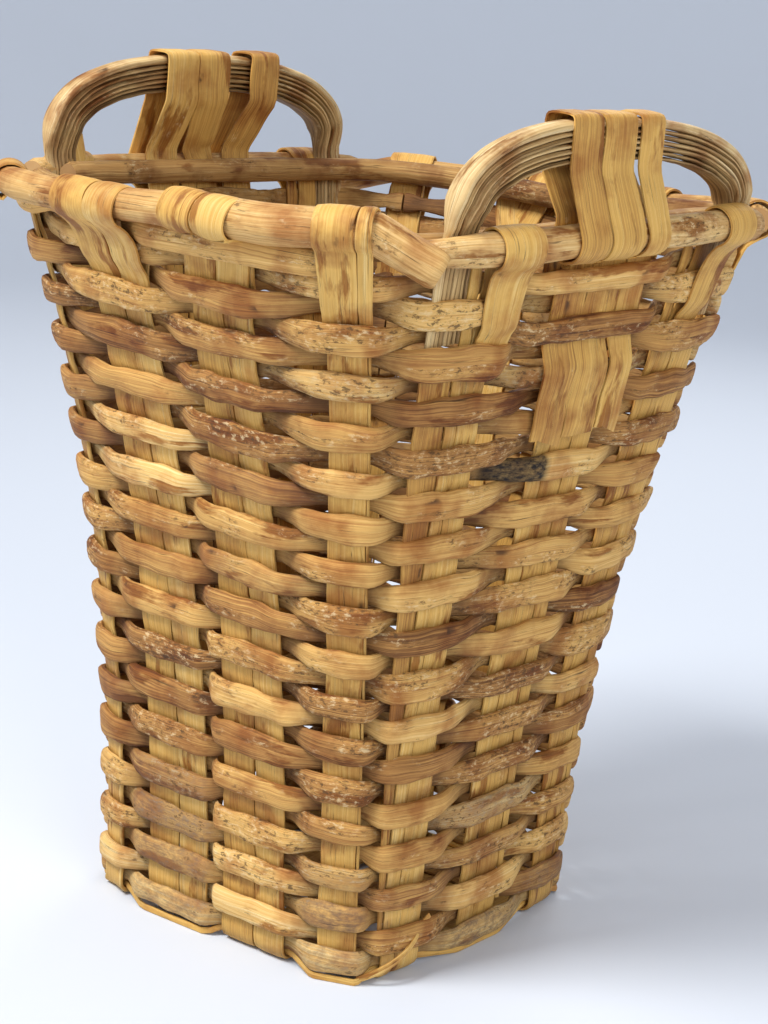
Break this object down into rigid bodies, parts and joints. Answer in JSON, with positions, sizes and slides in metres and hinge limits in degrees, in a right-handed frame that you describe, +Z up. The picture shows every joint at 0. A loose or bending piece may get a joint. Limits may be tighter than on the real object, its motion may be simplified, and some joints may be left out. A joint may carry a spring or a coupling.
{
  "type": "harvest basket",
  "caption": "Tall square-mouthed harvest basket of woven split rods on flat splint stakes, with a bound rim and two strapped bow handles.",
  "frame": {"origin": "on the floor, at the centre of the base and of the overall footprint", "axes": "+Z up out of the mouth, +X and -X towards the two handles, +Y and -Y towards the sides with no handle"},
  "size_m": [0.5198, 0.5194, 0.6705],
  "materials": {
    "weaver_rods": "half-round split rods, bark partly left on, dry and rough",
    "splint_stakes": "flat split wood, straw coloured, fine straight grain",
    "handle_straps": "flat split wood, straw coloured, fine straight grain",
    "handle_rods": "split rods, smoothed by hands",
    "rim_rods": "round rods, peeled, dry",
    "foot_splint": "thin split wood, worn and darkened"
  },
  "bodies": {
    "root": {"foot_splint": "foot_splint", "handle_left_rod_1": "handle_rods", "handle_left_rod_2": "handle_rods", "handle_left_rod_3": "handle_rods", "handle_left_rod_4": "handle_rods", "handle_left_strap_after": "handle_straps", "handle_left_strap_before": "handle_straps", "handle_right_rod_1": "handle_rods", "handle_right_rod_2": "handle_rods", "handle_right_rod_3": "handle_rods", "handle_right_rod_4": "handle_rods", "handle_right_strap_after": "handle_straps", "handle_right_strap_before": "handle_straps", "inner_rim_rod_1": "rim_rods", "inner_rim_rod_2": "rim_rods", "rim_rod_back": "rim_rods", "rim_rod_front": "rim_rods", "rim_rod_left": "rim_rods", "rim_rod_right": "rim_rods", "splint_front_to_back_1": "splint_stakes", "splint_front_to_back_2": "splint_stakes", "splint_front_to_back_3": "splint_stakes", "splint_front_to_back_4": "splint_stakes", "splint_handle_to_handle_1": "splint_stakes", "splint_handle_to_handle_2": "splint_stakes", "splint_handle_to_handle_3": "splint_stakes", "weaver_row_01": "weaver_rods", "weaver_row_02": "weaver_rods", "weaver_row_03": "weaver_rods", "weaver_row_04": "weaver_rods", "weaver_row_05": "weaver_rods", "weaver_row_06": "weaver_rods", "weaver_row_07": "weaver_rods", "weaver_row_08": "weaver_rods", "weaver_row_09": "weaver_rods", "weaver_row_10": "weaver_rods", "weaver_row_11": "weaver_rods", "weaver_row_12": "weaver_rods", "weaver_row_13": "weaver_rods", "weaver_row_14": "weaver_rods", "weaver_row_15": "weaver_rods", "weaver_row_16": "weaver_rods", "weaver_row_17": "weaver_rods", "weaver_row_18": "weaver_rods", "weaver_row_19": "weaver_rods", "weaver_row_20": "weaver_rods", "weaver_row_21": "weaver_rods", "weaver_row_22": "weaver_rods", "weaver_row_23": "weaver_rods", "weaver_row_24": "weaver_rods", "weaver_row_25": "weaver_rods", "weaver_row_26": "weaver_rods", "weaver_row_27": "weaver_rods", "weaver_row_28": "weaver_rods", "weaver_row_29": "weaver_rods", "weaver_row_30": "weaver_rods", "weaver_row_31": "weaver_rods"}
  },
  "joints": []
}
